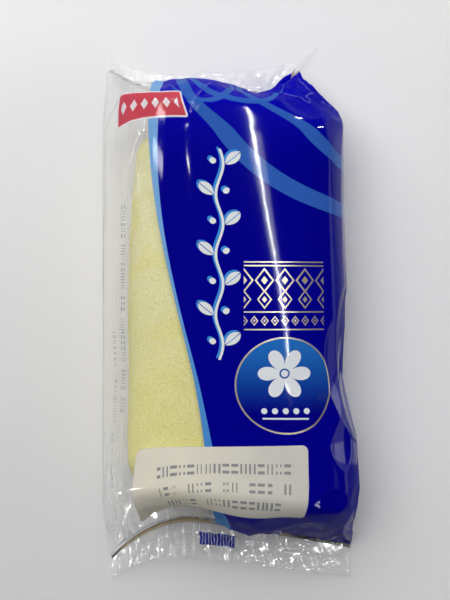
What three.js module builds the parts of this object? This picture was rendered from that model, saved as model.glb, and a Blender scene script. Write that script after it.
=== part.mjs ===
// Swiss roll in its sealed flow-wrap pack, lying flat on its back seam.
// Millimetres, +Z up. +Y runs along the roll towards the end of the pack with the folded-in corner,
// +X to the printed side. The origin is under the middle of the pack, at the level it rests on.
import * as THREE from "three";

// Driving dimensions of the body: a film tube drawn round the roll, slack on its left side. The
// printed right side is crumpled into flats: each pair is a place along the pack and how far out it is
const left_half_width = 58.2;
const right_wall_flats = [
  [-105, 58.6], [-92, 57.4], [-69, 60.9], [-51, 59.2], [-27, 53.2], [-4, 55.1], [54, 53.2], [86, 53.2], [92, 52.3],
];
const body_height = 53.5;
const widest_at = { left: 11, right: 21 };
const roundness = { left: 2.15, right: 3.1 };
const rest_cut = 1.6;

// The two end seals: film pressed flat and arched, its middle drawn in by the roll, its corners out.
// From there the film swells to its full height and widens to its full width. It puffs out beyond the
// seal line where it is slack, is nipped in at a fold, and the free corner of a fin flares out
const film_thickness = 0.9;
const seal_mid_height = 14;
const seal_corner_height = 2.2;
const lower_seal = {
  side: -1, y: 95, waist_x: -16, left_x: -55.6, right_x: 59.8,
  left_out: 21.5, right_out: 15.5, left_power: 2, right_power: 1.25,
  fin_left: 11, fin_mid: 19, fin_right: 15.5, flare: 0,
  widen: 22, swell: 22, plumpness: 1, puff: 5.5, puff_x: 9, puff_width: 16, nip: 0, nip_x: 0, nip_width: 1,
};
const upper_seal = {
  side: 1, y: 103, waist_x: -10, left_x: -55.8, right_x: 34.5,
  left_out: 15, right_out: 14, left_power: 2.4, right_power: 3.5,
  fin_left: 6, fin_mid: 12, fin_right: 13, flare: 10,
  widen: 23, swell: 11, plumpness: 2, puff: 6.5, puff_x: -15, puff_width: 24, nip: 4, nip_x: 15.5, nip_width: 6,
};

// Pleats that gather the film towards each seal
const pleat = { depth: 1.4, count: 16, starts: 8, reach: 14 };
const drawn_in_reach = 34;

// How finely the skin is divided: stations along the body and fins, and points round the pack
const body_stations = 66;
const fin_stations = 5;
const around = 68;
const outline_steps = 360;

const clamp01 = (value) => Math.min(1, Math.max(0, value));
const mix = (from, to, share) => from + (to - from) * share;
const ease = (share) => share * share * (3 - 2 * share);
const signed_power = (value, power) => Math.sign(value) * Math.abs(value) ** power;
const bell = (distance, reach) => Math.exp(-((distance / reach) ** 2));

// How far across the seal a point is from its drawn-in waist, 0 there and 1 at a corner
function corner_share(seal, x) {
  const corner_x = x < seal.waist_x ? seal.left_x : seal.right_x;
  return clamp01((x - seal.waist_x) / (corner_x - seal.waist_x));
}

// How far the seal line stands out beyond its waist
function seal_out(seal, x) {
  const share = corner_share(seal, x);
  return x < seal.waist_x ? seal.left_out * share ** seal.left_power : seal.right_out * share ** seal.right_power;
}

// How wide the crimped fin is beyond the seal line
function fin_depth(seal, x) {
  const corner_depth = x < seal.waist_x ? seal.fin_left : seal.fin_right;
  return mix(seal.fin_mid, corner_depth, corner_share(seal, x));
}

// The flattened film arches off the table between its two low corners
function seal_height(seal, x) {
  return mix(seal_mid_height, seal_corner_height, corner_share(seal, x) ** 2);
}

// How far out the printed side is at a place along the pack
function right_wall(y) {
  const after = Math.max(1, right_wall_flats.findIndex(([place]) => place >= y));
  const [[from_y, from_out], [to_y, to_out]] = y > right_wall_flats.at(-1)[0]
    ? right_wall_flats.slice(-2)
    : right_wall_flats.slice(after - 1, after + 1);
  return mix(from_out, to_out, clamp01((y - from_y) / (to_y - from_y)));
}

// One point of the body's cross-section, turn 0 at the right wall, a quarter at the top
function section_point(y, turn) {
  const angle = 2 * Math.PI * turn;
  const side = Math.cos(angle) >= 0 ? "right" : "left";
  const half_width = side === "right" ? right_wall(y) : left_half_width;
  const widest = widest_at[side];
  const power = 2 / roundness[side];
  const rise = signed_power(Math.sin(angle), power);
  const z = rise >= 0 ? widest + (body_height - widest) * rise : widest + (widest + rest_cut) * rise;
  return new THREE.Vector2(half_width * signed_power(Math.cos(angle), power), Math.max(0, z));
}

// One point of the film where it lies flat in the seal: top layer to the left, bottom layer back
function flat_point(seal, turn) {
  const lower_layer = turn > 0.5;
  const across = lower_layer ? 2 - 2 * turn : 2 * turn;
  const x = mix(seal.right_x, seal.left_x, across);
  const rounded_edge = Math.min(1, 12 * across, 12 * (1 - across));
  const half_film = (film_thickness / 2) * rounded_edge * (lower_layer ? -1 : 1);
  return new THREE.Vector2(x, seal_height(seal, x) + half_film);
}

// Points evenly spaced round a closed outline, as the film's own width is, from the given turn on
function evenly_spaced(point_at, first_turn) {
  const outline = Array.from({ length: outline_steps + 1 }, (_, step) => point_at(first_turn + step / outline_steps));
  return new THREE.Path(outline).getSpacedPoints(around).slice(0, around);
}

const flat_outline = new Map(
  [lower_seal, upper_seal].map((seal) => [seal, evenly_spaced((turn) => flat_point(seal, turn % 1), 0)]),
);

// A ring of the body at one station: the film swells from flat in the seal to the full section
function body_ring(y) {
  const seal = y < 0 ? lower_seal : upper_seal;
  const inside = seal.y - Math.abs(y);
  const share = clamp01(inside / seal.swell);
  const swell = (1 - (1 - share) ** 2) ** (1 / seal.plumpness);
  const widened = ease(clamp01(inside / seal.widen));
  const full_outline = evenly_spaced((turn) => section_point(y, turn), 0.25);
  return flat_outline.get(seal).map((flat, step) => {
    const full = full_outline[(step + around * 0.75) % around];
    const x = mix(flat.x, full.x, widened);
    const upper = step < around / 2 ? Math.sin((2 * Math.PI * step) / around) : 0;
    const slack = seal.puff * bell(x - seal.puff_x, seal.puff_width) - seal.nip * bell(x - seal.nip_x, seal.nip_width);
    const puffed = slack * Math.sin(Math.PI * swell) * upper;
    const drawn = seal_out(seal, flat.x) * bell(inside, drawn_in_reach);
    const fold = Math.sin((2 * Math.PI * pleat.count * step) / around);
    const gathered = pleat.depth * fold * upper * share * bell(inside - pleat.starts, pleat.reach);
    return [x, y + seal.side * (drawn + puffed), mix(flat.y, full.y, swell) + gathered];
  });
}

// A ring of the crimped fin, from the seal line at 0 to the cut edge at 1
function fin_ring(seal, along) {
  return flat_outline.get(seal).map((flat) => {
    const reach = seal_out(seal, flat.x) + fin_depth(seal, flat.x) * along;
    const flared = flat.x < seal.waist_x ? 0 : seal.flare * corner_share(seal, flat.x) ** 2 * along;
    return [flat.x + flared, seal.side * (seal.y + reach), flat.y];
  });
}

// Every ring in order, from the lower cut edge to the upper one, closer together near the seals
function pack_rings() {
  const rings = [];
  for (let station = fin_stations; station > 0; station -= 1) {
    rings.push(fin_ring(lower_seal, station / fin_stations));
  }
  for (let station = 0; station <= body_stations; station += 1) {
    const even = station / body_stations;
    const eased = (1 - Math.cos(Math.PI * even)) / 2;
    rings.push(body_ring(mix(-lower_seal.y, upper_seal.y, (2 * eased + even) / 3)));
  }
  for (let station = 1; station <= fin_stations; station += 1) {
    rings.push(fin_ring(upper_seal, station / fin_stations));
  }
  return rings;
}

// A closed skin over the rings, its two cut edges filled between the two layers of film, and the
// whole moved so that the origin is under its middle
function skin(rings) {
  const index = [];
  const at = (ring, step) => ring * around + (step % around);
  for (let ring = 0; ring < rings.length - 1; ring += 1) {
    for (let step = 0; step < around; step += 1) {
      index.push(at(ring, step), at(ring + 1, step), at(ring + 1, step + 1));
      index.push(at(ring, step), at(ring + 1, step + 1), at(ring, step + 1));
    }
  }
  const last = rings.length - 1;
  for (let step = 0; step < around / 2; step += 1) {
    const [upper, lower] = [step, around - step];
    if (upper > 0) {
      index.push(at(0, upper), at(0, lower - 1), at(0, lower));
      index.push(at(last, upper), at(last, lower), at(last, lower - 1));
    }
    if (upper + 1 < lower - 1) {
      index.push(at(0, upper), at(0, upper + 1), at(0, lower - 1));
      index.push(at(last, upper), at(last, lower - 1), at(last, upper + 1));
    }
  }
  const geometry = new THREE.BufferGeometry();
  geometry.setAttribute("position", new THREE.Float32BufferAttribute(rings.flat(2), 3));
  geometry.setIndex(index);
  geometry.computeVertexNormals();
  geometry.computeBoundingBox();
  const middle = geometry.boundingBox.getCenter(new THREE.Vector3());
  return geometry.translate(-middle.x, -middle.y, 0);
}

const printed_film = new THREE.MeshStandardMaterial({ color: 0x05058c, roughness: 0.25, metalness: 0 });

const pack = new THREE.Group();
const film_pack = new THREE.Mesh(skin(pack_rings()), printed_film);
film_pack.name = "film_pack";
pack.add(film_pack);

export default pack;
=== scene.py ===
import functools
import math

import bpy
import numpy as np
from mathutils import Matrix, Vector


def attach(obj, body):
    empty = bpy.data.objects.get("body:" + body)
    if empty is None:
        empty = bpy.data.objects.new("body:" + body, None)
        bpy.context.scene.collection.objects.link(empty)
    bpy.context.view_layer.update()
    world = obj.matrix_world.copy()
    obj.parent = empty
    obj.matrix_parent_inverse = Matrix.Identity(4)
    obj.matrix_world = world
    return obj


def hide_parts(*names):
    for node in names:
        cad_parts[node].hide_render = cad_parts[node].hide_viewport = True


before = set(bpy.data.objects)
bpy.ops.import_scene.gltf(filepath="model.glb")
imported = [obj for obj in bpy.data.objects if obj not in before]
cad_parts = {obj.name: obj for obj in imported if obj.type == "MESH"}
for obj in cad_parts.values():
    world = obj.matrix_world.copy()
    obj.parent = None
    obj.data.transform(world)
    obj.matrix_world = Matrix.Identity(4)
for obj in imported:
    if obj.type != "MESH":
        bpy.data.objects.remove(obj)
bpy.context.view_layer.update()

# Camera: it looks straight down on the pack from arm's length, as the photographer's did, with the
# length of the pack up the picture. Sizes here are millimetres, on the row frame's axes.
mm = 0.001
picture_height_pixels = 600
table_pixels_per_mm = 2.06
eye_height = 480
eye_over = (-2.08, 6.48)
sensor_mm = 36

view = bpy.data.cameras.new("view")
view.sensor_width = sensor_mm
view.lens = table_pixels_per_mm * eye_height * sensor_mm / picture_height_pixels
view.clip_end = 20
camera = bpy.data.objects.new("camera", view)
camera.location = (eye_over[0] * mm, eye_over[1] * mm, eye_height * mm)
bpy.context.scene.collection.objects.link(camera)
bpy.context.scene.camera = camera

# Film bag: one sheet of clear polypropylene film, printed on one side, formed into a tube round the
# roll, joined along its back and crimped flat at both ends. The tube is slack, so that it gathers
# towards the end seals and crumples at the two corners of its printed side. Each pair of
# right_wall_flats is a place along the pack and how far out the printed side is there.
left_half_width = 58.2
right_wall_flats = [
    (-105, 58.6), (-92, 57.4), (-69, 60.9), (-51, 59.2), (-27, 53.2),
    (-4, 55.1), (54, 53.2), (86, 53.2), (92, 52.3),
]
body_height = 53.5
widest_at = {"left": 11.0, "right": 21.0}
roundness = {"left": 2.15, "right": 3.1}
rest_cut = 1.6
seal_mid_height = 14.0
seal_corner_height = 2.2
lower_seal = dict(
    side=-1, y=95.0, waist_x=-16.0, left_x=-55.6, right_x=59.8,
    left_out=21.5, right_out=15.5, left_power=2.0, right_power=1.25,
    fin_left=11.0, fin_mid=19.0, fin_right=15.5, flare=0.0,
    widen=22.0, swell=22.0, plumpness=1.0,
    puff=5.5, puff_x=9.0, puff_width=16.0, nip=0.0, nip_x=0.0, nip_width=1.0,
)
upper_seal = dict(
    side=1, y=103.0, waist_x=-10.0, left_x=-55.8, right_x=34.5,
    left_out=15.0, right_out=14.0, left_power=2.4, right_power=3.5,
    fin_left=6.0, fin_mid=12.0, fin_right=13.0, flare=10.0,
    widen=23.0, swell=11.0, plumpness=2.0,
    puff=6.5, puff_x=-15.0, puff_width=24.0, nip=4.0, nip_x=15.5, nip_width=6.0,
)
drawn_in_reach = 34.0
layer_gap = 0.3
flap_room = 0.7
film_width = 270.0
around = 384
body_stations = 216
fin_stations = {-1: 18, 1: 12}


def bell(distance, reach):
    return np.exp(-((distance / reach) ** 2))


def smooth(value, start, end):
    share = np.clip((value - start) / (end - start), 0, 1)
    return share * share * (3 - 2 * share)


def signed_power(value, power):
    return np.sign(value) * np.abs(value) ** power


def corner_share(seal, x):
    corner = np.where(x < seal["waist_x"], seal["left_x"], seal["right_x"])
    return np.clip((x - seal["waist_x"]) / (corner - seal["waist_x"]), 0, 1)


def seal_out(seal, x):
    share = corner_share(seal, x)
    left = seal["left_out"] * share ** seal["left_power"]
    return np.where(x < seal["waist_x"], left, seal["right_out"] * share ** seal["right_power"])


def fin_depth(seal, x):
    corner_depth = np.where(x < seal["waist_x"], seal["fin_left"], seal["fin_right"])
    return seal["fin_mid"] + (corner_depth - seal["fin_mid"]) * corner_share(seal, x)


def seal_height(seal, x):
    return seal_mid_height + (seal_corner_height - seal_mid_height) * corner_share(seal, x) ** 2


def section(y, turn):
    """The outline of the tube at one place along it, turn 0 at the right wall, a quarter at the top."""
    angle = 2 * np.pi * turn
    right = np.cos(angle) >= 0
    right_wall = np.interp(y, *zip(*right_wall_flats))
    half_width = np.where(right, right_wall, left_half_width)
    widest = np.where(right, widest_at["right"], widest_at["left"])
    power = 2 / np.where(right, roundness["right"], roundness["left"])
    rise = signed_power(np.sin(angle), power)
    z = widest + np.where(rise >= 0, body_height - widest, widest + rest_cut) * rise
    return half_width * signed_power(np.cos(angle), power), np.maximum(0, z)


def flattened(seal, turn):
    """The same outline pressed flat in a seal: the top layer to the left, the bottom layer back."""
    bottom = turn > 0.5
    across = np.where(bottom, 2 - 2 * turn, 2 * turn)
    x = seal["right_x"] + (seal["left_x"] - seal["right_x"]) * across
    rounded_edge = np.minimum(1, 30 * np.minimum(across, 1 - across))
    return x, seal_height(seal, x) + layer_gap / 2 * rounded_edge * np.where(bottom, -1, 1)


def evenly_spaced(x, z, count):
    x = np.append(x, x[0])
    z = np.append(z, z[0])
    length = np.concatenate([[0], np.cumsum(np.hypot(np.diff(x), np.diff(z)))])
    marks = np.linspace(0, length[-1], count + 1)[:-1]
    return np.interp(marks, length, x), np.interp(marks, length, z)


ring_share = np.arange(around) / around
fine_turns = np.arange(2400) / 2400
seal_outline = {
    seal["side"]: evenly_spaced(*flattened(seal, fine_turns), around)
    for seal in (lower_seal, upper_seal)
}


def body_ring(y):
    seal = lower_seal if y < 0 else upper_seal
    inside = seal["y"] - abs(y)
    share = np.clip(inside / seal["swell"], 0, 1)
    swell = (1 - (1 - share) ** 2) ** (1 / seal["plumpness"])
    flat_x, flat_z = seal_outline[seal["side"]]
    full_x, full_z = evenly_spaced(*section(y, (fine_turns + 0.25) % 1), around)
    full_x = np.roll(full_x, around // 4)
    full_z = np.roll(full_z, around // 4)
    x = flat_x + (full_x - flat_x) * smooth(inside, 0, seal["widen"])
    upper = np.where(ring_share < 0.5, np.sin(2 * np.pi * ring_share), 0)
    slack = seal["puff"] * bell(x - seal["puff_x"], seal["puff_width"])
    slack = slack - seal["nip"] * bell(x - seal["nip_x"], seal["nip_width"])
    drawn = seal_out(seal, flat_x) * bell(inside, drawn_in_reach)
    along = y + seal["side"] * (drawn + slack * np.sin(np.pi * swell) * upper)
    return np.stack([x, along, flat_z + (full_z - flat_z) * swell])


def fin_ring(seal, share):
    x, z = seal_outline[seal["side"]]
    flared = np.where(x < seal["waist_x"], 0, seal["flare"] * corner_share(seal, x) ** 2 * share)
    reach = seal_out(seal, x) + fin_depth(seal, x) * share
    return np.stack([x + flared, seal["side"] * (seal["y"] + reach), z])


def tube_rings():
    steps = np.arange(body_stations + 1) / body_stations
    eased = (1 - np.cos(np.pi * steps) + steps) / 3
    lower = [fin_ring(lower_seal, 1 - step / fin_stations[-1]) for step in range(fin_stations[-1])]
    body = [body_ring(-lower_seal["y"] + (lower_seal["y"] + upper_seal["y"]) * share) for share in eased]
    upper = [fin_ring(upper_seal, (step + 1) / fin_stations[1]) for step in range(fin_stations[1])]
    return np.array(lower + body + upper)


# The row frame's origin is under the middle of the tube. Each point of the film also has a place on
# the flat sheet: across it from the top middle, towards the printed side, and along it from there
rings = tube_rings()
pack_middle = (rings.max(axis=(0, 2)) + rings.min(axis=(0, 2)))[:2] / 2
film_across = np.where(ring_share <= 0.75, 0.25 - ring_share, 1.25 - ring_share) * film_width
top_line = rings[:, :, around // 4]
film_along = np.concatenate([[0], np.cumsum(np.linalg.norm(np.diff(top_line, axis=0), axis=1))])
film_along = film_along - np.interp(0, top_line[:, 1], film_along)
lower_line = float(film_along[fin_stations[-1]])
upper_line = float(film_along[fin_stations[-1] + body_stations])
across_grid, along_grid = np.meshgrid(film_across, film_along)

# Folds: each is a sharp ridge or valley that starts at a seal and dies out along the film
draw = np.random.default_rng(11)


def tent(distance, half_width):
    return np.maximum(0, 1 - np.abs(distance) / half_width)


def zigzag(value):
    return 2 * np.abs(value - np.floor(value) - 0.5) - 0.5


gather_span = 64
gather_shift = 2.5


def seal_folds(line, side, count, reach, height):
    """Gathers that fan out from a seal: side is 1 where the film lies at greater film_along."""
    relief = np.zeros_like(across_grid)
    shift = draw.uniform(-gather_shift, gather_shift, count)
    starts = np.linspace(-gather_span, gather_span, count) + shift
    inside = (along_grid - line) * side
    for start in starts:
        lean = draw.uniform(-0.35, 0.35)
        length = reach * draw.uniform(0.45, 1.25)
        width = draw.uniform(1.6, 3.4)
        fold_height = height * draw.uniform(0.5, 1.2) * draw.choice([-1, 1])
        path = across_grid - start - lean * inside
        fade = np.clip(inside / 3, 0, 1) * np.clip(1 - inside / length, 0, 1) ** 1.3
        relief += fold_height * fade * tent(path, width + 0.07 * inside)
    return relief


def crumple(centre, reach, pitch, height):
    """Flat facets with sharp creases between them, from zigzags in several directions."""
    relief = np.zeros_like(across_grid)
    for turn in (0.0, 0.9, 1.9, 2.6):
        lean = turn + draw.uniform(-0.2, 0.2)
        slope = across_grid * math.cos(lean) + along_grid * math.sin(lean)
        relief += zigzag(slope / (pitch * draw.uniform(0.8, 1.3)) + draw.uniform(0, 1))
    near = bell(across_grid - centre[0], reach[0]) * bell(along_grid - centre[1], reach[1])
    return height * relief * near


def crease(start, end, height, half_width):
    """A sharp ridge from one place on the sheet to another, fading out at both."""
    way = np.subtract(end, start)
    length = math.hypot(*way)
    way = way / length
    share = ((across_grid - start[0]) * way[0] + (along_grid - start[1]) * way[1]) / length
    aside = (across_grid - start[0]) * way[1] - (along_grid - start[1]) * way[0]
    return height * tent(aside, half_width) * smooth(share, 0, 0.25) * smooth(1 - share, 0, 0.25)


# Patches are given by place, reach, pitch of their facets and height, creases by their two ends,
# height and half width, and waves of the whole sheet by length across, length along and height
crumpled_patches = [
    ((60, -96), (13, 14), 9, 0.45), ((56, 104), (14, 14), 11, 0.9), ((48, 112), (16, 12), 6, 0.45),
    ((-62, -95), (16, 24), 12, 0.5), ((-62, 60), (10, 60), 19, 0.3), ((-36, 118), (24, 16), 13, 0.5),
    ((-60, 112), (14, 20), 7, 0.6), ((10, -112), (50, 9), 8, 0.35),
]
creases = [
    ((-35, 90), (-50, 42), 0.7, 1.3), ((-39, 68), (-42, 38), 0.35, 1.4), ((-45, 52), (-47, 12), 0.3, 1.2),
    ((-50, -42), (-58, -108), 0.6, 1.5), ((-46, -55), (-52, -104), 0.4, 1.3),
    ((-62, -20), (-66, -100), 0.5, 1.5), ((6, 116), (-16, 84), 0.7, 1.8), ((34, 104), (57, 91), 0.8, 1.6),
    ((57, 91), (49, 108), 0.6, 1.3), ((63, 116), (56, 95), 0.7, 1.4), ((60, 93), (72, 90), 0.5, 1.3),
    ((56, -96), (66, -112), 0.6, 1.5),
]
sheet_waves = [(61, 190, 0.05), (37, 120, 0.03), (23, 88, 0.02)]
relief = seal_folds(lower_line, 1, 19, 30, 1.0) + seal_folds(upper_line, -1, 19, 24, 0.8)
for patch in crumpled_patches:
    relief += crumple(*patch)
for ends_and_size in creases:
    relief += crease(*ends_and_size)
for wave_across, wave_along, wave_height in sheet_waves:
    phase = draw.uniform(0, 2 * np.pi, 2)
    wave = np.sin(2 * np.pi * across_grid / wave_across + phase[0])
    relief += wave_height * wave * np.cos(2 * np.pi * along_grid / wave_along + phase[1])

# Long pleats down both sides, each at its place across the sheet, with its height and width
long_pleats = [
    (-50, 0.35, 1.0), (-60, 0.5, 1.1), (-64.5, 0.8, 1.3), (-69, 0.6, 1.2), (-75, 0.9, 1.8), (63, 0.5, 1.5),
]
for pleat_at, pleat_height, pleat_width in long_pleats:
    wander = 0.9 * np.sin(along_grid / 33 + pleat_at) + 0.5 * np.sin(along_grid / 14 - pleat_at)
    relief += pleat_height * tent(across_grid - pleat_at - wander, pleat_width) * bell(along_grid - 20, 105)
underside = (ring_share > 0.5) & (ring_share < 1)
underside_relief = 0.4
seal_calm = 4
settled = smooth(along_grid, lower_line, lower_line + seal_calm)
settled = settled * smooth(-along_grid, -upper_line, -upper_line + seal_calm)
relief = relief * settled * np.where(underside, underside_relief, 1)[None, :]


def outward(grid):
    """The outward direction at every point of a grid of rings [ring, axis, point round it]."""
    round_it = np.roll(grid, -1, axis=2) - np.roll(grid, 1, axis=2)
    along_it = np.gradient(grid, axis=0)
    direction = np.cross(along_it, round_it, axis=1)
    return direction / np.maximum(np.linalg.norm(direction, axis=1, keepdims=True), 1e-9)


# Flats: where the slack film has been pressed, it is a flat facet that meets its neighbours in a
# crease. Each is given by its place on the sheet, how deep it cuts, its reach and how it is turned.
flats = [
    ((46, -20), 0.6, 12, (0.04, 0.05)), ((59, -39), 1.3, 17, (0.0, 0.04)),
    ((45, -46), 0.8, 11, (-0.14, 0.02)), ((50, -59), 0.9, 11, (-0.05, 0.12)),
    ((45, -75), 1.0, 13, (-0.05, -0.06)), ((57, -74), 0.8, 12, (0.06, -0.04)),
    ((61, -88), 0.9, 10, (0.12, 0.06)), ((52, 40), 0.3, 26, (-0.05, 0.01)),
    ((50, 80), 1.2, 16, (0.06, 0.06)), ((40, 90), 0.9, 12, (0.05, 0.10)),
    ((52, 98), 1.5, 12, (-0.06, 0.05)), ((60, 104), 1.3, 11, (0.10, 0.10)),
    ((46, 106), 1.2, 11, (-0.15, 0.05)), ((66, 92), 1.3, 13, (0.0, -0.08)),
    ((-50, 70), 0.8, 24, (-0.04, 0.03)), ((-58, 20), 0.9, 32, (0.04, 0.0)),
    ((-56, -40), 0.8, 28, (-0.05, 0.02)), ((-53, -84), 1.3, 16, (-0.06, -0.10)),
    ((-40, -96), 1.0, 12, (0.10, -0.10)), ((-64, -98), 1.2, 14, (0.10, 0.05)),
    ((-56, 100), 1.2, 15, (0.0, 0.12)), ((-42, 108), 0.9, 12, (0.10, 0.05)),
    ((-4, 100), 0.8, 12, (0.04, 0.12)), ((20, -92), 0.8, 11, (0.08, -0.08)),
    ((34, -98), 0.8, 11, (0.12, -0.04)), ((6, -98), 0.9, 11, (-0.12, -0.08)),
    ((-20, -98), 0.9, 11, (0.08, -0.12)),
]


def pressed(grid, facing):
    """The grid with every flat pressed into it."""
    for place, depth, reach, turn in flats:
        station = int(np.argmin(np.abs(film_along - place[1])))
        step = int(np.argmin(np.abs(film_across - place[0])))
        middle = grid[station, :, step]
        normal = facing[station, :, step]
        sideways = np.cross([0, 1, 0], normal)
        normal = normal + turn[0] * sideways + np.array([0, turn[1], 0])
        normal = normal / np.linalg.norm(normal)
        offset = grid - middle[None, :, None]
        above = np.einsum("rap,a->rp", offset, normal) + depth - depth * (offset**2).sum(axis=1) / reach**2
        grid = grid - np.maximum(above, 0)[:, None, :] * normal[None, :, None]
    return grid


facing = outward(rings)
film_points = pressed(rings, facing)
film_points = rings + (film_points - rings) * settled[:, None, :] + facing * relief[:, None, :]

# Crimped ends: the two layers, sealed together, crumple as one from the seal line to the cut edge.
# Ripples are given by length and height, facets by how they run, their pitch and their height
ripples = [(6.3, 1.0), (3.4, 0.6), (11.0, 0.7)]
facet_rows = [
    (1.0, 0.4, 8.3, 1.0), (1.0, -0.7, 5.9, 1.0), (0.5, 1.0, 9.7, 1.0),
    (1.0, 1.3, 4.3, 0.7), (1.0, -0.2, 3.3, 0.6), (0.9, 1.0, 5.1, 0.5),
]
ripple_height = 0.4
facet_height = 0.75
for seal, line, first_ring in (
    (lower_seal, lower_line, 0), (upper_seal, upper_line, len(rings) - fin_stations[1]),
):
    x = seal_outline[seal["side"]][0]
    phase = draw.uniform(0, 2 * np.pi, 6)
    for row in range(first_ring, first_ring + fin_stations[seal["side"]]):
        out = abs(film_along[row] - line)
        crumpling = np.zeros(around)
        for start, (length, height) in zip(phase, ripples):
            crumpling += ripple_height * height * np.sin(x / length + start)
        for start, (run_across, run_along, pitch, height) in zip(phase, facet_rows):
            slope = (run_across * x + run_along * out) / pitch
            crumpling += facet_height * height * zigzag(slope + start)
        film_points[row, 2] += smooth(out, 0, 9) * crumpling

# The bottom of the tube lies on its folded back seam, so nothing of it is under that level
film_points[:, 2] = np.maximum(film_points[:, 2], flap_room + 0.1)
film_points[:, 0] -= pack_middle[0]
film_points[:, 1] -= pack_middle[1]


def link_mesh(name, points, faces, corner_uv=None):
    """A smooth-shaded object in the row frame from points in millimetres."""
    mesh = bpy.data.meshes.new(name)
    mesh.from_pydata((np.asarray(points) * mm).tolist(), [], faces)
    mesh.polygons.foreach_set("use_smooth", [True] * len(mesh.polygons))
    if corner_uv is not None:
        layer = mesh.uv_layers.new(name="film")
        layer.data.foreach_set("uv", np.asarray(corner_uv, dtype=np.float32).ravel())
    mesh.update()
    made = bpy.data.objects.new(name, mesh)
    bpy.context.scene.collection.objects.link(made)
    return made


def film_mesh(name, grid):
    """The closed film: quads between rings, and each cut edge filled between its two layers."""
    stations = grid.shape[0]
    points = grid.transpose(0, 2, 1).reshape(-1, 3)
    faces = []
    corner_uv = []
    along_share = (film_along - film_along[0]) / (film_along[-1] - film_along[0])
    for ring in range(stations - 1):
        for step in range(around):
            following = (step + 1) % around
            low, high = ring * around, (ring + 1) * around
            faces.append((low + step, high + step, high + following, low + following))
            turn = 0.25 if step < around * 3 // 4 else 1.25
            left = turn - step / around + 0.5
            right = turn - (step + 1) / around + 0.5
            bottom, top = along_share[ring], along_share[ring + 1]
            corner_uv.extend(((left, bottom), (left, top), (right, top), (right, bottom)))
    for ring, edge in ((0, 0.0), (stations - 1, 1.0)):
        for step in range(around // 2):
            corners = [step, step + 1, around - step - 1, (around - step) % around]
            corners = list(dict.fromkeys(corners))
            if ring:
                corners.reverse()
            faces.append(tuple(ring * around + corner for corner in corners))
            corner_uv.extend((0.75 - corner / around, edge) for corner in corners)
    return link_mesh(name, points, faces, corner_uv)


film = film_mesh("film_bag", film_points)


class Shade:
    """One output socket of a node tree, so that shader maths reads as Python."""

    def __init__(self, tree, socket=None):
        self.tree = tree
        self.socket = socket

    def node(self, kind, settings=None, inputs=None, output=0):
        """A node of that kind: its settings first, then the values or links of its sockets."""
        made = self.tree.nodes.new(kind)
        for name, value in (settings or {}).items():
            setattr(made, name, value)
        for key, value in (inputs or {}).items():
            if isinstance(value, Shade):
                self.tree.links.new(value.socket, made.inputs[key])
            else:
                made.inputs[key].default_value = value
        return Shade(self.tree, made.outputs[output] if made.outputs else None)

    def math(self, operation, *values, clamp=False):
        settings = {"operation": operation, "use_clamp": clamp}
        return self.node("ShaderNodeMath", settings, dict(enumerate(values)))

    def __add__(self, other):
        return self.math("ADD", self, other)

    __radd__ = __add__

    def __sub__(self, other):
        return self.math("SUBTRACT", self, other)

    def __rsub__(self, other):
        return self.math("SUBTRACT", other, self)

    def __mul__(self, other):
        return self.math("MULTIPLY", self, other)

    __rmul__ = __mul__

    def __truediv__(self, other):
        return self.math("DIVIDE", self, other)

    def __abs__(self):
        return self.math("ABSOLUTE", self)

    def __pow__(self, other):
        return self.math("POWER", self, other)

    def least(self, other):
        return self.math("MINIMUM", self, other)

    def most(self, other):
        return self.math("MAXIMUM", self, other)

    def floor(self):
        return self.math("FLOOR", self)

    def sine(self):
        return self.math("SINE", self)

    def repeated(self, pitch, shift=0.5):
        """How far this value is from the middle of its cell, in a row of cells of that pitch."""
        cell = self / pitch + shift
        return (cell.math("FRACT", cell) - 0.5) * pitch

    def ease(self, start, end):
        """0 before start, 1 after end, smooth between."""
        settings = {"interpolation_type": "SMOOTHSTEP"}
        return self.node("ShaderNodeMapRange", settings, {0: self, 1: start, 2: end, 3: 0.0, 4: 1.0})

    def within(self, soft_edge=0.14):
        """1 where this distance is negative, with a thin soft edge."""
        return self.math("MULTIPLY_ADD", self, -1 / soft_edge, 0.5, clamp=True)

    def near(self, middle, half_width, soft_edge=0.14):
        """1 where this value is no further than half_width from the middle."""
        return (abs(self - middle) - half_width).within(soft_edge)

    def blend(self, under, over):
        """The colour over laid on the colour under where this mask is 1."""
        under = under if isinstance(under, Shade) else (*under, 1)
        over = over if isinstance(over, Shade) else (*over, 1)
        return self.node("ShaderNodeMix", {"data_type": "RGBA"}, {0: self, 6: under, 7: over}, output=2)

    def object_place(self):
        return self.node("ShaderNodeTexCoord", output=3)

    def part(self, axis):
        """One of the three numbers of this place."""
        return self.node("ShaderNodeSeparateXYZ", {}, {0: self}, axis)

    def noise(self, scale, detail=2.0, roughness=0.5):
        """Cloud noise at this place."""
        sockets = {"Vector": self, "Scale": scale, "Detail": detail, "Roughness": roughness}
        return self.node("ShaderNodeTexNoise", {}, sockets)

    def chance(self):
        """A number from 0 to 1 that is different at every place."""
        return self.node("ShaderNodeTexWhiteNoise", {}, {0: self})

    def bump(self, strength, depth):
        """The normal of a surface with this height on it."""
        return self.node("ShaderNodeBump", {}, {"Strength": strength, "Distance": depth, "Height": self})


def greatest(values):
    """The greatest of several values: of masks, 1 where any of them is."""
    return functools.reduce(Shade.most, values)


def new_material(name):
    made = bpy.data.materials.new(name)
    made.use_nodes = True
    made.node_tree.nodes.clear()
    return made, Shade(made.node_tree)


def show(shader):
    """Gives the tree's output this shader."""
    shader.node("ShaderNodeOutputMaterial", {}, {0: shader})


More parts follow.
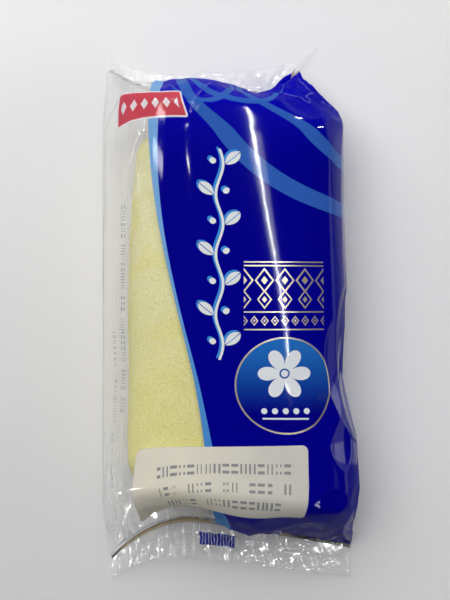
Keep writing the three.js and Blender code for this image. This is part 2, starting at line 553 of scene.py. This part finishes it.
# The print, in millimetres on the flat sheet
film_length = film_along[-1] - film_along[0]
film_material, sheet = new_material("printed_clear_film")
sheet_uv = sheet.node("ShaderNodeUVMap", {"uv_map": "film"})
across = (sheet_uv.part(0) - 0.5) * film_width
along = sheet_uv.part(1) * film_length + float(film_along[0])


def sheet_place(p, q):
    return sheet.node("ShaderNodeCombineXYZ", {}, {0: p, 1: q})


spot = sheet_place(across, along)
smudge = spot.noise(0.16, 4.0, 0.7)

blue_ink = (0.0010, 0.0004, 0.250)
painted_backlight_blue_ink = (0.0032, 0.0022, 0.42)
blotch_ink = (0.006, 0.005, 0.27)
fold_highlight_ink = (0.24, 0.22, 0.62)
sky_ink = (0.070, 0.27, 0.64)
pale_stripe_ink = (0.20, 0.42, 0.74)
sweep_ink = (0.030, 0.115, 0.46)
shadow_ink = (0.045, 0.27, 0.72)
cream_ink = (0.80, 0.83, 0.80)
navy_ink = (0.0015, 0.0008, 0.215)
badge_sky_ink = (0.018, 0.16, 0.53)
badge_white_ink = (0.80, 0.84, 0.86)
tab_edge_ink = (0.80, 0.76, 0.76)
tab_mark_ink = (0.82, 0.74, 0.74)
red_ink = (0.62, 0.072, 0.085)
white_ink = (0.83, 0.785, 0.635)
painted_shade_white_ink = (0.68, 0.655, 0.58)
grey_ink = (0.30, 0.30, 0.29)
fine_ink = (0.22, 0.27, 0.38)
eye_ink = (0.012, 0.014, 0.24)
gold_ink = (0.36, 0.31, 0.22)
tan_ink = (0.60, 0.47, 0.27)
brown_ink = (0.12, 0.10, 0.055)


def from_origin(p, q):
    """How far a place is from the origin of its own coordinates."""
    return (p * p + q * q) ** 0.5


def distance_to(centre):
    settings = {"operation": "DISTANCE"}
    return sheet.node("ShaderNodeVectorMath", settings, {0: spot, 1: (*centre, 0)}, output=1)


def rounded_box(p, q, centre, half, radius):
    """Distance to a rectangle with rounded corners, negative inside."""
    beyond_p = abs(p - centre[0]) - (half[0] - radius)
    beyond_q = abs(q - centre[1]) - (half[1] - radius)
    return from_origin(beyond_p.most(0), beyond_q.most(0)) + beyond_p.most(beyond_q).least(0) - radius


# A blue field with a light blue stripe along its edge, which swings from the left at the top of the
# pack to the middle at the bottom, and is narrowest at its waist
stripe_top = -34.0
stripe_bottom = -7.5
stripe_turn = (-78.0, 86.0)
stripe_waist = 3.0
stripe_least_width = 1.3
stripe_widening = 44
stripe_edge = along.ease(*stripe_turn) * (stripe_top - stripe_bottom) + stripe_bottom
from_waist = (along - stripe_waist) / stripe_widening
stripe_width = from_waist * from_waist + stripe_least_width
past_edge = across - stripe_edge
top_limit = (1 - across.ease(-24, -6)) * 8 + across.ease(44, 53) * 5.5 - across.ease(57, 61) * 4 + upper_line
in_print = (along - top_limit).within() * (lower_line + 1.6 - along).within()
coloured = (0 - past_edge).within() * in_print
field = (stripe_width - past_edge).within() * in_print

# Tan bands on both seals: one along the lower seal, and short ones at the upper one
tan_band = greatest([
    along.near(lower_line + 0.4, 2.0, 0.6),
    along.near(upper_line - 3, 5, 2.5) * (across + 42).within(5) * smudge.ease(0.47, 0.54),
    along.near(upper_line + 1.2, 1.2, 0.4) * across.near(27, 8, 2),
    (along - top_limit).near(0.6, 1.2, 0.4) * across.near(61, 4, 2),
])

# Sweeping light blue crescents across the upper part of the field, each between two circles
crescents = [
    ((62, 124), 80, (65.5, 127.5), 77.5),
    ((70, 112), 50, (72.5, 115), 48.3),
    ((-2, 116), 21, (-3.5, 118), 20.0),
    ((22, 128), 34, (24, 131), 33.4),
]
sweep = field * greatest([
    (distance_to(outer) - outer_radius).within() * (inner_radius - distance_to(inner)).within()
    for outer, outer_radius, inner, inner_radius in crescents
])

# A climbing vine down the middle of the field, in cream with a light blue drop shadow
vine_from, vine_to = -18.0, 73.0
vine_cell = 13.0
vine_middle, vine_sway, stem_half_width = -3.0, 1.5, 0.55
slant_across, slant_along = 0.80, 0.60
leaf_start, leaf_half_length, leaf_bow, leaf_half_width, vein_half_width = 1.0, 4.3, 6.0, 2.1, 0.16
berry_place, berry_radius = (-4.2, 1.5), 1.35
vine_shadow_shift = (0.9, -0.8)


def vine(p, q):
    """Where the vine is: a wavy stem with a leaf and a berry to each bend, on alternate sides."""
    bends = (q - vine_from) / vine_cell
    stem = (bends * math.pi).sine() * vine_sway + vine_middle
    side = ((bends.floor() + 0.5) * math.pi).sine()
    local_q = (q - vine_from).repeated(vine_cell, 0)
    local_p = (p - stem) * side
    leaf_p = (local_p - leaf_start) * slant_across + local_q * slant_along
    leaf_q = local_q * slant_across - (local_p - leaf_start) * slant_along
    leaf = from_origin(leaf_p - leaf_half_length, abs(leaf_q) + (leaf_bow - leaf_half_width)) - leaf_bow
    vein = abs(leaf_q + leaf_p * 0.02) - vein_half_width
    leaf = leaf.within() * (0 - vein).within(0.2)
    berry = from_origin(local_p - berry_place[0], local_q - berry_place[1]) - berry_radius
    ends = q.near((vine_from + vine_to) / 2, (vine_to - vine_from) / 2)
    return greatest([(p - stem).near(0, stem_half_width), leaf, berry.within()]) * ends


vine_shadow = vine(across + vine_shadow_shift[0], along + vine_shadow_shift[1])
vine_cream = vine(across, along)

# Gold rules with a row of interlaced lozenges between them, under a row of small ones
gold_middle = 24.0
gold_half_width = 17.0
rule_half_width = 0.28


def lozenge(p, q, size):
    """Distance to a slanted square, negative inside."""
    return abs(p) * slant_across + abs(q) * slant_along - size


def lozenges(centre_q, pitch, size, line):
    """A row of lozenges, each an outline with a solid heart."""
    shape = lozenge((across - gold_middle).repeated(pitch), along - centre_q, size)
    return shape.near(0, line).most((shape + size * 0.62).within())


gold_work = across.near(gold_middle, gold_half_width) * greatest([
    *(along.near(rule, rule_half_width) for rule in (24.2, 22.6, 2.6, -5.0)),
    lozenges(16.3, 8.5, 2.9, 0.32),
    lozenges(8.0, 8.5, 2.2, 0.28),
    lozenges(-1.2, 4.25, 1.1, 0.22),
])

# A round badge: gold ring, a blue disc that darkens downwards, a six-petalled flower in white, and
# under it a row of buds on a line
badge_centre = (24.0, -29.0)
badge_radius = 20.8
badge_out = distance_to(badge_centre)
badge = (badge_out - badge_radius).within()
badge_ring = badge_out.near(badge_radius - 0.4, 0.34)
flower_centre = (24.0, -24.0)
flower_p = across - flower_centre[0]
flower_out = distance_to(flower_centre)
petal_length, petal_start = 8.2, 3.0
petal_angle = flower_p.math("ARCTAN2", along - flower_centre[1], flower_p) * 3
petal_swing = abs(petal_angle.math("COSINE", petal_angle))
petals = flower_out - (petal_swing ** 0.6 * petal_length + petal_start)
buds = from_origin(flower_p.repeated(4.4), along + 40.0) - 1.25
badge_mark = badge * greatest([
    petals.within() * (2.2 - flower_out).within(),
    (flower_out - 1.5).within(),
    buds.within() * flower_p.near(0, 11),
    flower_p.near(0, 9.5) * along.near(-43.2, 0.35),
])
badge_fall = along.ease(badge_centre[1] - 14, badge_centre[1] + 22)

# A white panel for the date, its lower left corner drawn out by the film
panel_centre = (-2.6, -71.9)
panel_p = across + (along + 56).least(0) * across.least(0) * 0.0034
panel_q = along - across * 0.05 + (across + 5).least(0) * (along + 56).least(0) * 0.008
panel = rounded_box(panel_p, panel_q, panel_centre, (35.2, 16.4), 2.6).within()


def marks(p, q, row_pitch, cell, size, seed):
    """Rows of short bars, one to a cell, some of them left out, as a placeholder for small print."""
    row = (q / row_pitch).floor()
    column = (p / cell).floor()
    local_q = (q / row_pitch - row - 0.5) * row_pitch
    local_p = (p / cell - column - 0.5) * cell
    chance, kind = (
        sheet.node("ShaderNodeCombineXYZ", {}, dict(enumerate(cell_key))).chance()
        for cell_key in ((row, column, seed), (column, seed, row))
    )
    bar = (abs(local_p) - size[0] / 2 * (chance * 0.5 + 0.6)).within()
    upright = local_q.near(0, size[1] / 2)
    across_gap = local_q.near(0, size[1] / 5) * (0.45 - kind).within(0.01)
    upright_gap = local_p.near(0, size[0] / 5) * (kind - 0.55).within(0.01)
    return bar * upright * (1 - across_gap) * (1 - upright_gap) * (0.12 - chance).within(0.01)


panel_rows = across.near(-1, 27.5) * panel_q.near(-73.0, 12.0)
panel_marks = panel_rows * marks(across + 2.1, panel_q + 61.0, 8.0, 3.5, (2.7, 4.2), 3.0)
fine_lines = [(-47.4, -42, 50, 7.0), (-53.6, -72, -6, 8.0)]
fine_marks = greatest([
    across.near(line_at, 1.2) * along.near((start + end) / 2, (end - start) / 2)
    * marks(along, across - line_at + 1.5, 3.0, 2.5, (1.9, 2.3), seed)
    for line_at, start, end, seed in fine_lines
])

# A small red tab at the top left, bent along the slack film, with a row of white lozenges
tab_middle = (-34.2, 92.6)
tab_p = across - tab_middle[0]
tab_q = along - tab_p * 0.21 + tab_p * tab_p * 0.006
tab = rounded_box(across, tab_q, tab_middle, (19.3, 7.6), 1.4)
tab_border = 0.9
tab_marks = lozenge(across.repeated(6.2, 0.4), tab_q - tab_middle[1], 1.7).within() * (tab + 3).within()

# The eye mark on the lower fin, which the packing machine reads, broken by the crimps
crimp_pitch = 1.6
crimp_step = across / crimp_pitch + smudge * 2.5
crimp = abs(crimp_step.repeated(1, 0)) * 2
eye_place = (-6.0, lower_line - 8.6)
eye_mark = rounded_box(across + smudge * 1.5, along + (smudge - 0.5) * 3, eye_place, (9.8, 2.9), 0.4)
eye_mark = eye_mark.within() * (1 - crimp.ease(0.62, 0.9) * 0.75)


def fold_line(start, end, half_width, soft_edge):
    length = math.hypot(end[0] - start[0], end[1] - start[1])
    way = ((end[0] - start[0]) / length, (end[1] - start[1]) / length)
    off_start = (across - start[0], along - start[1])
    reached = (off_start[0] * way[0] + off_start[1] * way[1]).most(0).least(length)
    off_line = from_origin(off_start[0] - reached * way[0], off_start[1] - reached * way[1])
    return (off_line - half_width).within(soft_edge)


def fold_lines(bent_lines, half_width, soft_edge):
    """1 along bent lines on the sheet, each given by its corners."""
    return greatest([
        fold_line(start, end, half_width, soft_edge)
        for corners in bent_lines
        for start, end in zip(corners, corners[1:])
    ])


# Painted highlights: sharp folds are painted as pale lines on the ink of the folded-in corner, and as white
# lines in the clear film
pale_fold_highlights = fold_lines([
    [(36, 102.5), (47.8, 102.1), (49.9, 95.5), (49.2, 92.3)], [(62.6, 94.6), (56, 95.5), (50.6, 92.3)],
    [(64.7, 113), (64.7, 103.5), (61.9, 96.4)], [(61.9, 90.7), (66.8, 87.4)],
    [(3.5, 110), (-9.8, 95.5), (-13.4, 89.9)],
], 0.25, 0.7)
white_fold_highlights = fold_lines([
    [(-38.7, 77.5), (-43.6, 67.2), (-45.7, 55.8), (-47.1, 49)], [(-38.7, 62), (-38.9, 52.5)],
    [(-42.9, 49), (-43.1, 40)], [(-63.3, -49), (-58.4, -65), (-55.5, -79), (-61, -108)],
    [(-50.6, -53.6), (-48.5, -70), (-51.3, -89)],
], 0.2, 0.8)

# All the inks, laid on in the order of printing, with painted light among them: the lighter upper field, the
# shade on the panel and highlights along the folds
stripe_colour = along.ease(-60, 60).blend(sky_ink, pale_stripe_ink)
# Painted light: the blue field is painted lighter towards the upper end, where the film is lit through from
# behind
field_colour = along.ease(62, 104).blend(blue_ink, painted_backlight_blue_ink)
badge_colour = badge_fall.blend(navy_ink, badge_sky_ink)
# Painted shade: the white panel is painted darker towards its right side
panel_colour = across.ease(-22, 26).blend(white_ink, painted_shade_white_ink)
seal_colour = across.near(-14, 47, 8).most(along.ease(0, 10)).blend(brown_ink, tan_ink)
gold = (gold_work * field).most(badge_ring)
ink = field.blend(stripe_colour, field_colour)
for mask, colour in (
    (sweep, sweep_ink),
    (vine_shadow * field, shadow_ink),
    (vine_cream, cream_ink),
    (badge, badge_colour),
    (badge_mark, badge_white_ink),
    (tab.within(), tab_edge_ink),
    ((tab + tab_border).within(), red_ink),
    (tab_marks, tab_mark_ink),
    (panel, panel_colour),
    (panel_marks, grey_ink),
    (fine_marks, fine_ink),
    (eye_mark, eye_ink),
    (gold, gold_ink),
    (tan_band, seal_colour),
    (spot.noise(0.09, 3.0, 0.6) * 0.12, blotch_ink),
    (pale_fold_highlights * smudge.ease(0.30, 0.55) * coloured * 0.5, fold_highlight_ink),
):
    ink = mask.blend(ink, colour)
pale_band = along.near(lower_line + 9, 1.0, 1.6) * across.near(-42, 20, 4)
opacity = greatest([
    coloured, tab.within(), panel, fine_marks * 0.5, eye_mark * 0.95,
    tan_band * (smudge * 0.5 + 0.5), pale_band * (smudge * 0.5 + 0.25),
])

# The film itself: it lets nearly all light through, and reflects a little of it from both faces
in_fin = (along - lower_line).within(1).most((upper_line - along).within(1))
film_height = spot.noise(0.35) + in_fin * crimp * 0.7
slack_bump = film_height.bump(0.12, 0.0004)
edge_on = sheet.node("ShaderNodeLayerWeight", {}, {"Blend": 0.5}, 1)
film_gloss = edge_on ** 4 * 0.55 + 0.04
streaks = sheet_place(across * 0.42, along * 0.013).noise(1.0, 3.0, 0.6)
left_side = 1 - across.ease(-46, -40)
# Over an even thin haze the crimps are a little hazier, and white haze streaks down the left side are
# painted sheen of its long creases
film_haze = in_fin * (crimp.ease(0.55, 0.95) * 0.02 + 0.02) + streaks.ease(0.50, 0.72) * left_side * 0.12
film_haze = film_haze + 0.02

# Painted highlights: crinkles in the crimped ends, and in the slack film next to them, are painted into the
# white haze as fine white lines, short glints and rays, together with the white fold lines and long white
# streaks at the lower left corner
crinkle_noise = sheet_place(across * 0.13 + along * 0.06, along * 0.40).noise(1.0, 2.0, 0.55)
crinkle_highlights = (abs(crinkle_noise - 0.5) * 34).ease(1, 0) * smudge.ease(0.50, 0.64)
glints = sheet_place(across * 0.42 + along * 0.10, along * 0.17).noise(1.0, 1.0).ease(0.69, 0.75)
rays = sheet_place(across * 0.045, along * 0.8 + across * 0.12).noise(1.0).ease(0.58, 0.70)
slack_corner = (lower_line + 62 - along).ease(0, 30) * (1 - across.ease(-47, -42))
slack_top = (along - (upper_line - 24)).ease(0, 10) * (1 - across.ease(-30, -22))
crumpled = greatest([in_fin, slack_corner * 0.8, slack_top * 0.8])
white_glint = white_fold_highlights * smudge.ease(0.35, 0.55) * 0.6
white_glint = white_glint + crumpled * (crinkle_highlights * 0.20 + glints * 0.75)
white_glint = white_glint + in_fin * rays * smudge.ease(0.40, 0.60) * 0.28
white_glint = white_glint + slack_corner * streaks.ease(0.54, 0.66) * 0.45
clear = sheet.node("ShaderNodeBsdfTransparent", {}, {"Color": (0.996, 0.996, 0.994, 1)})
haze = sheet.node("ShaderNodeBsdfDiffuse", {}, {"Color": (0.95, 0.95, 0.96, 1)})
film_body = sheet.node("ShaderNodeMixShader", {}, {0: film_haze.most(white_glint), 1: clear, 2: haze})
gloss = sheet.node("ShaderNodeBsdfAnisotropic", {}, {"Roughness": 0.10, "Normal": slack_bump})
clear_film = sheet.node("ShaderNodeMixShader", {}, {0: film_gloss, 1: film_body, 2: gloss})


def between_corners(corners, soft_edge):
    """1 inside a shape with these corners on the sheet, given anticlockwise."""
    sides = []
    for (p0, q0), (p1, q1) in zip(corners, corners[1:] + corners[:1]):
        length = math.hypot(p1 - p0, q1 - q0)
        sides.append((across - p0) * ((q1 - q0) / length) - (along - q0) * ((p1 - p0) / length))
    return greatest(sides).within(soft_edge)


# The print is glossiest where the film is drawn tight: along its outer side and in single facets.
# It is dullest in the folded-in corner
tight_side = across.ease(46, 59) * along.ease(-15, 40) * (1 - along.ease(74, 86))
tight_facets = [
    ([(60.5, -24), (43, -35.5), (56, -51.5), (72, -56), (76, -36)], 0.8),
    ([(62, -8), (44, -34), (46, -35.5), (66, -11)], 0.6),
    ([(36.6, -54.7), (47, -60.5), (60, -62), (66, -56), (54, -52)], 0.6),
    ([(58, -80), (56, -90), (66, -120), (74, -90)], 0.4),
]
tight = greatest([
    tight_side * 0.8, *(between_corners(corners, 1.2) * share for corners, share in tight_facets),
])
folded_corner = along.ease(84, 92) * across.ease(36, 46)
printed_film = sheet.node("ShaderNodeBsdfPrincipled", {}, {
    "Base Color": ink, "Roughness": 0.30, "Metallic": gold * 0.6, "IOR": 1.45, "Specular IOR Level": 0.0,
    "Coat Weight": tight + 0.2 - folded_corner * 0.14, "Coat Roughness": 0.05, "Coat IOR": 1.5,
    "Normal": slack_bump,
})
show(sheet.node("ShaderNodeMixShader", {}, {0: opacity, 1: clear_film, 2: printed_film}))
film.data.materials.append(film_material)
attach(film, "root")
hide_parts("film_pack")

# Back seam: the two edges of the sheet are sealed face to face into a strip along the underside,
# which is folded flat to one side under the pack.
seam_width = 13.0
seam_from, seam_to = -88.0, 92.0
seam_columns = 40
seam_rows = 150
seam_layers = []
for height in (0.55, 0.2):
    across_share = np.linspace(0, 1, seam_columns)
    along_y = np.linspace(seam_from, seam_to, seam_rows)
    strip_x, strip_y = np.meshgrid(across_share * seam_width, along_y)
    ribs = 0.06 * zigzag(strip_x / 1.3)
    fold = flap_room * (1 - smooth(strip_x, 0, 1.5)) * (1 if height > 0.4 else 0.2)
    seam_layers.append(np.stack([strip_x - 0.4, strip_y, height + ribs + fold * 0.5], axis=-1))
seam_points = np.concatenate([layer.reshape(-1, 3) for layer in seam_layers])
seam_points[:, :2] -= pack_middle
seam_faces = []
lower_start = seam_columns * seam_rows
for row in range(seam_rows - 1):
    for column in range(seam_columns - 1):
        first = row * seam_columns + column
        corners = (first, first + 1, first + seam_columns + 1, first + seam_columns)
        seam_faces.append(corners)
        seam_faces.append(tuple(lower_start + corner for corner in reversed(corners)))
border = list(range(seam_columns))
border += [row * seam_columns + seam_columns - 1 for row in range(1, seam_rows)]
border += [(seam_rows - 1) * seam_columns + column for column in range(seam_columns - 2, -1, -1)]
border += [row * seam_columns for row in range(seam_rows - 2, 0, -1)]
for place, first in enumerate(border):
    following = border[(place + 1) % len(border)]
    seam_faces.append((following, first, lower_start + first, lower_start + following))
back_seam = link_mesh("back_seam", seam_points, seam_faces)

seam_material, seam = new_material("crimped_clear_film")
seam_cloud = seam.object_place().noise(120.0, 3.0)
seam_edge_on = seam.node("ShaderNodeLayerWeight", {}, {"Blend": 0.5}, 1)
seam_clear = seam.node("ShaderNodeBsdfTransparent", {}, {"Color": (0.97, 0.97, 0.97, 1)})
seam_haze = seam.node("ShaderNodeBsdfPrincipled", {}, {
    "Base Color": (seam_cloud * 0.3).blend((0.86, 0.86, 0.85), (0.70, 0.71, 0.72)),
    "Roughness": 0.25, "Coat Weight": 1.0, "Coat Roughness": 0.08, "Normal": seam_cloud.bump(0.3, 0.0004),
})
seam_share = seam_edge_on ** 3 * 0.6 + 0.14
show(seam.node("ShaderNodeMixShader", {}, {0: seam_share, 1: seam_clear, 2: seam_haze}))
back_seam.data.materials.append(seam_material)
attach(back_seam, "root")

# Swiss roll: a flat sheet of yellow sponge spread with cream and rolled up, so that both ends show
# a spiral. It is wider than it is high, because it settled under its own weight.
roll_half_width = 48.0
roll_middle_x = 2.45
roll_low, roll_high = 1.4, 51.6
roll_roundness = 2.4
roll_from, roll_to = -73.0, 81.0
slab_turns = 2.35
slab_pitch = 0.36
cream_share = 0.22
tail_turn = 0.72
end_rounding = 9.0
spiral_steps = 320


def roll_section(turn, scale):
    """A point of the roll's section at that turn from the right side, shrunk towards its middle."""
    angle = 2 * np.pi * turn
    power = 2 / roll_roundness
    half_height = (roll_high - roll_low) / 2
    x = roll_middle_x + roll_half_width * scale * signed_power(np.cos(angle), power)
    z = (roll_low + roll_high) / 2 + half_height * scale * signed_power(np.sin(angle), power)
    return x, z


def spiral_band(outer_share, inner_share):
    """The closed outline of a band of the spiral, from the tail under the roll in to the middle."""
    turns = np.linspace(0, slab_turns, spiral_steps)
    outer = 1 - slab_pitch * (turns + outer_share)
    inner = 1 - slab_pitch * (turns + inner_share)
    start = -(1 - tail_turn)
    settle = smooth(turns, 0, 0.25)
    outer = np.minimum(1, outer + slab_pitch * turns * (1 - smooth(turns, 0.0, 1.0)) * settle)
    outside = roll_section(start - turns, np.maximum(outer, 0.02))
    inside = roll_section(start - turns, np.maximum(inner, 0.015))
    x = np.concatenate([outside[0], inside[0][::-1]])
    z = np.concatenate([outside[1], inside[1][::-1]])
    return x, z


def swept(name, x, z, stations, end_scale, bumpiness):
    """The outline swept along the roll, its ends drawn in, closed by flat ends of triangles."""
    count = len(x)
    points = []
    for y, scale in zip(stations, end_scale):
        wobble = bumpiness * (np.sin(x / 7.0 + y / 11.0) + np.sin(z / 5.0 - y / 8.0 + 1.3))
        ring_x = roll_middle_x + (x - roll_middle_x) * (scale + wobble)
        ring_z = roll_low + (z - roll_low) * (scale + wobble * 0.3)
        points.append(np.stack([ring_x, np.full(count, y), ring_z], axis=-1))
    points = np.array(points)
    points[:, :, 0] -= pack_middle[0]
    points[:, :, 1] -= pack_middle[1]
    faces = []
    for station in range(len(stations) - 1):
        for step in range(count):
            following = (step + 1) % count
            low, high = station * count, (station + 1) * count
            faces.append((low + step, low + following, high + following, high + step))
    half = count // 2
    last = (len(stations) - 1) * count
    for step in range(half - 1):
        corners = (step, count - 1 - step, count - 2 - step, step + 1)
        faces.append(corners)
        faces.append(tuple(last + corner for corner in reversed(corners)))
    return link_mesh(name, points.reshape(-1, 3), faces)


roll_rings = 150
end_narrowing = 0.05
upper_narrowing = 0.085
upper_narrowing_reach = 75
settling_bumps = 0.0035
roll_stations = roll_from + (roll_to - roll_from) * np.linspace(0, 1, roll_rings)
from_end = np.minimum(roll_stations - roll_from, roll_to - roll_stations)
from_upper_end = (roll_to - roll_stations) / upper_narrowing_reach
narrowed = 1 - end_narrowing * (1 - np.clip(from_end / end_rounding, 0, 1)) ** 2.2
narrowed = narrowed - upper_narrowing * (1 - np.clip(from_upper_end, 0, 1)) ** 2
sponge = swept("sponge_roll", *spiral_band(0, 1 - cream_share), roll_stations, narrowed, settling_bumps)

sponge_material, crumb = new_material("yellow_sponge")
crumb_place = crumb.object_place()
pore_settings = {"Vector": crumb_place, "Scale": 1100.0, "Randomness": 1.0}
pores = crumb.node("ShaderNodeTexVoronoi", {}, pore_settings)
fine_pores = crumb_place.noise(1300.0)
patches = crumb_place.noise(70.0, 4.0).ease(0.42, 0.66)
speckles = crumb_place.noise(520.0).ease(0.60, 0.70)
upwards = crumb_place.part(1).ease(-0.06, 0.06)
sponge_colour = upwards.blend((0.825, 0.77, 0.325), (0.81, 0.78, 0.465))
sponge_colour = (patches * 0.55).blend(sponge_colour, (0.80, 0.73, 0.25))
sponge_colour = (fine_pores.ease(0.46, 0.30) * 0.6).blend(sponge_colour, (0.58, 0.50, 0.15))
sponge_colour = (speckles * 0.4).blend(sponge_colour, (0.92, 0.89, 0.60))
show(crumb.node("ShaderNodeBsdfPrincipled", {}, {
    "Base Color": sponge_colour, "Roughness": 0.85, "Specular IOR Level": 0.25,
    "Normal": (pores * 0.7 + fine_pores * 0.8).bump(0.55, 0.0004),
}))
sponge.data.materials.append(sponge_material)
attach(sponge, "root")

# Cream filling: a layer of white cream between the turns of the sponge, level with its ends.
cream_set_back = 0.8
cream_gap = 0.004
cream_stations = roll_stations.copy()
cream_stations[0] += cream_set_back
cream_stations[-1] -= cream_set_back
cream_outline = spiral_band(1 - cream_share + cream_gap, 1 - cream_gap)
cream = swept("cream_filling", *cream_outline, cream_stations, narrowed, settling_bumps)
cream_material, whipped = new_material("white_cream")
cream_cloud = whipped.object_place().noise(260.0, 4.0)
show(whipped.node("ShaderNodeBsdfPrincipled", {}, {
    "Base Color": cream_cloud.blend((0.86, 0.83, 0.74), (0.93, 0.91, 0.85)),
    "Roughness": 0.45, "Normal": cream_cloud.bump(0.4, 0.0005),
}))
cream.data.materials.append(cream_material)
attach(cream, "root")

# Table: a plain pale table, with painted light on it: lighter towards the upper end of the pack, darker
# towards the lower end, and a little lighter at the upper left and lower right corners than at the other
# two.
table_reach = 2.0
table_mesh = bpy.data.meshes.new("table")
table_corners = [(-1, -1), (1, -1), (1, 1), (-1, 1)]
table_points = [(x * table_reach, y * table_reach, 0) for x, y in table_corners]
table_mesh.from_pydata(table_points, [], [(0, 1, 2, 3)])
table = bpy.data.objects.new("table", table_mesh)
bpy.context.scene.collection.objects.link(table)
table_material, top = new_material("pale_table")
top_place = top.object_place()
shaded_reach = 0.16
top_x = top_place.part(0).least(shaded_reach).most(-shaded_reach)
top_y = top_place.part(1).least(shaded_reach).most(-shaded_reach)
painted_table_light = top_y * (top_y * 0.3 + 0.388) + 0.75 - top_x * top_y * 1.3
painted_table_light = painted_table_light * (top_place.noise(3.0) * 0.03 + 0.985)
show(top.node("ShaderNodeBsdfPrincipled", {}, {
    "Base Color": painted_table_light.blend((0, 0, 0), (1.0, 0.993, 1.0)), "Roughness": 0.6,
}))
table.data.materials.append(table_material)


# Light: a broad soft lamp beyond the upper end, with small ones in front and at the side. Gloss is
# lit on its own, by cards, by small lamps that glint in the creases, and by a long narrow lamp whose
# reflection runs down the printed side.
def lamp(name, place, aim, size, power, for_gloss=True):
    """A rectangular lamp at place, in metres, facing aim, for gloss alone or for plain light."""
    light = bpy.data.lights.new(name, "AREA")
    light.shape = "RECTANGLE"
    light.size, light.size_y = size
    light.energy = power
    made = bpy.data.objects.new(name, light)
    made.location = place
    made.rotation_euler = (Vector(aim) - Vector(place)).to_track_quat("-Z", "Y").to_euler()
    made.visible_glossy = for_gloss
    made.visible_diffuse = not for_gloss
    bpy.context.scene.collection.objects.link(made)
    return made


pack_foot = (0, 0, 0)
lamp("broad_lamp", (-0.30, 0.62, 1.12), (0, 0.05, 0), (1.6, 1.2), 20.6, False)
lamp("front_lamp", (0.4, -0.75, 1.2), pack_foot, (1.6, 0.8), 0.6, False)
lamp("side_lamp", (1.3, 0.0, 0.5), (0, 0, 0.02), (0.8, 0.6), 3.0, False)
glint_size = (0.05, 0.30)
glint_power = 9
glint_places = [
    (-0.8, 0.75, 0.6), (-0.95, -0.35, 0.35), (0.6, -0.95, 0.6), (0.65, 0.9, 0.6), (0.95, 0.6, 0.45),
    (-0.5, 1.0, 0.8), (0.9, -0.7, 0.9),
]
for number, place in enumerate(glint_places):
    lamp("glint_lamp_%d" % (number + 1), place, pack_foot, glint_size, glint_power)
for name, place, size, power in (
    ("side_card", (0.85, -0.06, 0.09), (0.5, 0.14), 0.45),
    ("high_card", (1.05, -0.35, 0.62), (0.30, 0.15), 0.09),
    ("window_patch", (-0.81, 0.22, 0.77), (0.03, 0.18), 0.9),
    ("window_streak", (-0.62, 0.28, 1.5), (0.012, 0.05), 0.35),
):
    lamp(name, place, pack_foot, size, power)

# Each strip runs level from one place over the table to another, with its width and power
strip_height = 1.5
strips = [
    ("strip_lamp", (0.58, -0.12), (0.150, 0.277), 0.006, 4.6),
    ("strip_lamp_bend", (0.150, 0.277), (0.108, 0.345), 0.008, 1.0),
    ("strip_lamp_end", (0.108, 0.345), (0.200, 0.560), 0.009, 2.8),
    ("strip_glow", (0.56, -0.10), (0.12, 0.32), 0.08, 2.2),
]
upright = Vector((0, 0, 1))
for name, strip_from, strip_to, width, power in strips:
    strip_from, strip_to = (Vector((*end, strip_height)) for end in (strip_from, strip_to))
    strip_middle = (strip_from + strip_to) / 2
    strip_size = ((strip_to - strip_from).length, width)
    strip = lamp(name, strip_middle, strip_middle - upright, strip_size, power)
    strip_way = (strip_to - strip_from).normalized()
    turned = Matrix((strip_way, upright.cross(strip_way), upright)).transposed()
    strip.rotation_euler = turned.to_euler()

# The room round the table: nearly dark above, with pale walls low at both sides
room = bpy.data.worlds.new("room")
bpy.context.scene.world = room
room.use_nodes = True
room.node_tree.nodes.clear()
air = Shade(room.node_tree)
way = air.node("ShaderNodeTexCoord")
wall_share = (1 - way.part(2).ease(0.0, 0.25)) * (abs(way.part(0)).ease(0.2, 0.9) * 0.8 + 0.2)
wall_glow = wall_share.blend((0.003, 0.003, 0.005), (0.25, 0.25, 0.29))
air.node("ShaderNodeOutputWorld", {}, {0: air.node("ShaderNodeBackground", {}, {0: wall_glow, 1: 0.8})})

bpy.context.scene.view_settings.view_transform = "Standard"
bpy.context.scene.view_settings.look = "None"
